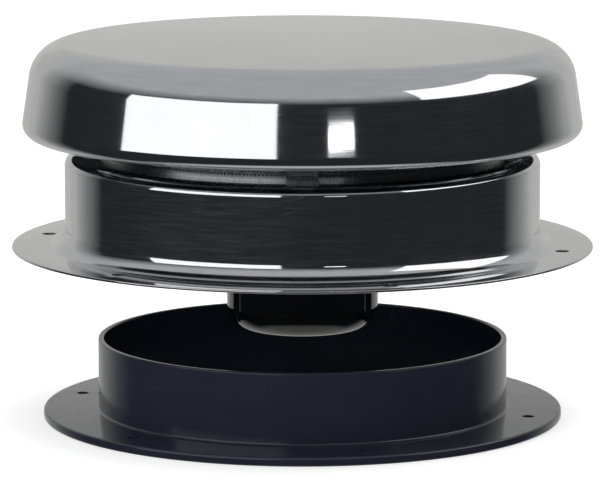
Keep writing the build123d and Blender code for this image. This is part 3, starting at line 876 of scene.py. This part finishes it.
# Heights on the ball, as shares of its radius, between which one tone passes to the next
PAPER_STARTS = (-0.9, -0.8)
CEILING_STARTS = (0.3, 0.6)


def room_material():
    """Emission by direction from the ventilator, a little uneven as a real room is."""
    material, tree, output = blank_material("studio_room")
    place = object_place(tree)
    aim = add_node(tree, "ShaderNodeVectorMath", {"operation": "NORMALIZE"}, links={0: place}).outputs[0]
    height = add_node(tree, "ShaderNodeSeparateXYZ", links={0: aim}).outputs["Z"]
    walls = azimuth_ramp(tree, place, ROOM_TONES)
    low = mixed(tree, threshold(tree, height, *PAPER_STARTS), PAPER_BELOW, walls)
    room = mixed(tree, threshold(tree, height, *CEILING_STARTS), low, CEILING_TONE)
    cloud = mottle(tree, place, 0.25, 4.0)
    uneven = add_node(tree, "ShaderNodeVectorMath", {"operation": "SCALE"},
                      links={0: room, "Scale": spread(tree, cloud, 0.85, 1.15)})
    emitting(tree, output, uneven.outputs[0], 1.0)
    return material


def card_material(name, stops, strength):
    """A softbox whose cloth is brighter where its lamp stands behind it."""
    material, tree, output = blank_material(name)
    place = object_place(tree)
    cloth = azimuth_ramp(tree, place, stops)
    weave = mottle(tree, place, 0.15, 2.0)
    uneven = add_node(tree, "ShaderNodeVectorMath", {"operation": "SCALE"},
                      links={0: cloth, "Scale": spread(tree, weave, 0.94, 1.06)})
    emitting(tree, output, uneven.outputs[0], strength)
    return material


def only_reflected(card):
    """A card that polished metal shows, but that the camera sees through and that shades nothing."""
    card.visible_camera = False
    card.visible_diffuse = False
    card.visible_shadow = False
    card.visible_transmission = False
    card.visible_volume_scatter = False


def stage_piece(name, vertices, faces, material):
    mesh = bpy.data.meshes.new(name)
    mesh.from_pydata(vertices, [], faces)
    mesh.materials.append(material)
    piece = bpy.data.objects.new(name, mesh)
    piece.location = BALL_CENTRE
    bpy.context.scene.collection.objects.link(piece)
    only_reflected(piece)
    return piece


def add_card(name, corners, stops, strength):
    """A card whose corners are given by azimuth and elevation, hung a little inside the room's walls."""
    vertices = [on_ball(azimuth, elevation, BALL_RADIUS) for azimuth, elevation in corners]
    return stage_piece(name, vertices, [tuple(range(len(vertices)))], card_material(name, stops, strength))


def add_room():
    """The room as a ball round the ventilator."""
    columns, rows = 96, 72
    vertices = []
    faces = []
    for row in range(rows + 1):
        elevation = 180 * row / rows - 90
        vertices.extend(on_ball(360 * column / columns, elevation, ROOM_RADIUS) for column in range(columns))
    for row in range(rows):
        for column in range(columns):
            here, beside = row * columns + column, row * columns + (column + 1) % columns
            faces.append((here, beside, beside + columns, here + columns))
    stage_piece("studio_room", vertices, faces, room_material())


def add_floor_material():
    """Matt white paper: it renders white to the camera and keeps the shadow."""
    material, tree, output = blank_material("white_paper_sweep")
    path = add_node(tree, "ShaderNodeLightPath")
    seen = add_node(tree, "ShaderNodeMath", {"operation": "ADD"},
                    links={0: path.outputs["Is Camera Ray"], 1: path.outputs["Is Glossy Ray"]})
    seen = add_node(tree, "ShaderNodeMath", {"operation": "ADD", "use_clamp": True},
                    links={0: seen.outputs[0], 1: path.outputs["Is Transmission Ray"]})
    paper = add_node(tree, "ShaderNodeBsdfDiffuse", inputs={"Color": rgba(linear("#e6e6e6"))})
    lift = add_node(tree, "ShaderNodeMath", {"operation": "MULTIPLY"}, inputs={1: 0.5},
                    links={0: seen.outputs[0]})
    glow = add_node(tree, "ShaderNodeEmission", inputs={"Color": (1, 1, 1, 1)},
                    links={"Strength": lift.outputs[0]})
    both = add_node(tree, "ShaderNodeAddShader", links={0: paper.outputs[0], 1: glow.outputs[0]})
    tree.links.new(both.outputs[0], output.inputs["Surface"])
    return material


def add_world():
    """White all round to the camera, the metal and the glass, and a plain soft light on everything else."""
    world = bpy.data.worlds.new("studio_world")
    bpy.context.scene.world = world
    world.use_nodes = True
    tree = world.node_tree
    tree.nodes.clear()
    output = add_node(tree, "ShaderNodeOutputWorld")
    path = add_node(tree, "ShaderNodeLightPath")
    seen = add_node(tree, "ShaderNodeMath", {"operation": "ADD"},
                    links={0: path.outputs["Is Camera Ray"], 1: path.outputs["Is Glossy Ray"]})
    seen = add_node(tree, "ShaderNodeMath", {"operation": "ADD", "use_clamp": True},
                    links={0: seen.outputs[0], 1: path.outputs["Is Transmission Ray"]})
    level = add_node(tree, "ShaderNodeMapRange", inputs={"To Min": 0.55, "To Max": 1.0},
                     links={"Value": seen.outputs[0]})
    light = add_node(tree, "ShaderNodeBackground", inputs={"Color": (1, 1, 1, 1)},
                     links={"Strength": level.outputs[0]})
    tree.links.new(light.outputs[0], output.inputs["Surface"])


def add_lamp(name, place, target, size, power):
    """A soft area lamp aimed at a point, left out of reflections because the cards stand for it there."""
    data = bpy.data.lights.new(name, "AREA")
    data.shape = "RECTANGLE"
    data.size = size[0]
    data.size_y = size[1]
    data.energy = power
    lamp = bpy.data.objects.new(name, data)
    bpy.context.scene.collection.objects.link(lamp)
    lamp.location = place
    lamp.rotation_euler = (Vector(target) - Vector(place)).to_track_quat("-Z", "Y").to_euler()
    lamp.visible_glossy = False
    lamp.visible_camera = False


# The photograph's camera, found from the ellipses of the two flanges, the collar and the rim
CAMERA_DISTANCE = 1.7
CAMERA_HEIGHT = 0.2751
CAMERA_PITCH = 0.161
FOCAL_PIXELS = 4341.1
AXIS_COLUMN = 302.5
AXIS_ROW = 247.3
SENSOR_WIDTH = 36.0


def add_camera():
    data = bpy.data.cameras.new("photo_camera")
    data.sensor_width = SENSOR_WIDTH
    data.lens = FOCAL_PIXELS / PHOTO_WIDTH * SENSOR_WIDTH
    data.shift_x = (PHOTO_WIDTH / 2 - AXIS_COLUMN) / PHOTO_WIDTH
    data.shift_y = (AXIS_ROW - PHOTO_HEIGHT / 2) / PHOTO_WIDTH
    data.clip_start = 0.1
    data.clip_end = 20.0
    camera = bpy.data.objects.new("photo_camera", data)
    bpy.context.scene.collection.objects.link(camera)
    camera.location = (0, -CAMERA_DISTANCE, CAMERA_HEIGHT)
    camera.rotation_euler = (math.pi / 2 - CAMERA_PITCH, 0, 0)
    bpy.context.scene.camera = camera


# Softboxes as plain rectangles: azimuth from and to, elevation from and to, in degrees
SOFTBOX_TONES = [(-180, "#ffffff"), (180, "#ffffff")]
LEFT_BOX = (105, 170, 0, 20)
RIGHT_BOX = (-130, -60, 20, 45)
FRONT_LAMP = (-170, -160, 7, 9)


def rectangle(left, right, bottom, top):
    """Corners of a softbox, with steps along its length so that it follows the ball."""
    steps = [left + (right - left) * step / 8 for step in range(9)]
    return [(azimuth, bottom) for azimuth in steps] + [(azimuth, top) for azimuth in steps[::-1]]


class VENT_OT_stage(bpy.types.Operator):
    """Make the floor, the cards that the steel reflects, the lamps and the camera"""

    bl_idname = "vent.stage"
    bl_label = "Studio"

    def execute(self, context):
        floor_z = CAD_BOX[0].z
        mesh = bpy.data.meshes.new("paper_sweep")
        half = 6.0
        mesh.from_pydata([(-half, -half, floor_z), (half, -half, floor_z), (half, half, floor_z),
                          (-half, half, floor_z)], [], [(0, 1, 2, 3)])
        mesh.materials.append(add_floor_material())
        floor = bpy.data.objects.new("paper_sweep", mesh)
        context.scene.collection.objects.link(floor)
        # The lower half of the room's ball stands for the table in reflections
        floor.visible_glossy = False

        add_room()
        add_card("left_softbox", rectangle(*LEFT_BOX), SOFTBOX_TONES, 1.7)
        add_card("right_softbox", rectangle(*RIGHT_BOX), SOFTBOX_TONES, 1.8)
        add_card("front_lamp", rectangle(*FRONT_LAMP), SOFTBOX_TONES, 4.0)

        add_world()
        add_lamp("overhead_lamp", (0.3, 0.2, 1.6), (0, 0, 0), (1.2, 1.2), 14)
        add_lamp("key_lamp", (-1.1, -1.1, 0.9), (0, 0, 0), (0.9, 0.7), 9)
        add_camera()
        context.scene.view_settings.view_transform = "Standard"
        # Polished sheets that face each other need more than the usual number of reflections
        context.scene.cycles.glossy_bounces = 10
        return {"FINISHED"}


class VENT_PT_panel(bpy.types.Panel):
    """Lists the pieces of the ventilator and their sizes"""

    bl_idname = "VENT_PT_panel"
    bl_label = "Roof ventilator"
    bl_space_type = "VIEW_3D"
    bl_region_type = "UI"
    bl_category = "Vent"

    def draw(self, context):
        for operator in OPERATORS:
            self.layout.operator(operator.bl_idname)
        for group in (context.scene.vent_sizes, context.scene.vent_finish):
            for name in type(group).__annotations__:
                self.layout.prop(group, name)


OPERATORS = (VENT_OT_stage, VENT_OT_housing, VENT_OT_cap, VENT_OT_screen, VENT_OT_legs, VENT_OT_bridge,
             VENT_OT_spindle, VENT_OT_valve, VENT_OT_knob, VENT_OT_ring)
CLASSES = (VentSizes, VentFinish, *OPERATORS, VENT_PT_panel)


def register():
    for entry in CLASSES:
        bpy.utils.register_class(entry)
    bpy.types.Scene.vent_sizes = PointerProperty(type=VentSizes)
    bpy.types.Scene.vent_finish = PointerProperty(type=VentFinish)


def unregister():
    del bpy.types.Scene.vent_finish
    del bpy.types.Scene.vent_sizes
    for entry in reversed(CLASSES):
        bpy.utils.unregister_class(entry)


def main():
    register()
    for operator in OPERATORS:
        group, name = operator.bl_idname.split(".")
        getattr(getattr(bpy.ops, group), name)()


if __name__ == "__main__":
    main()
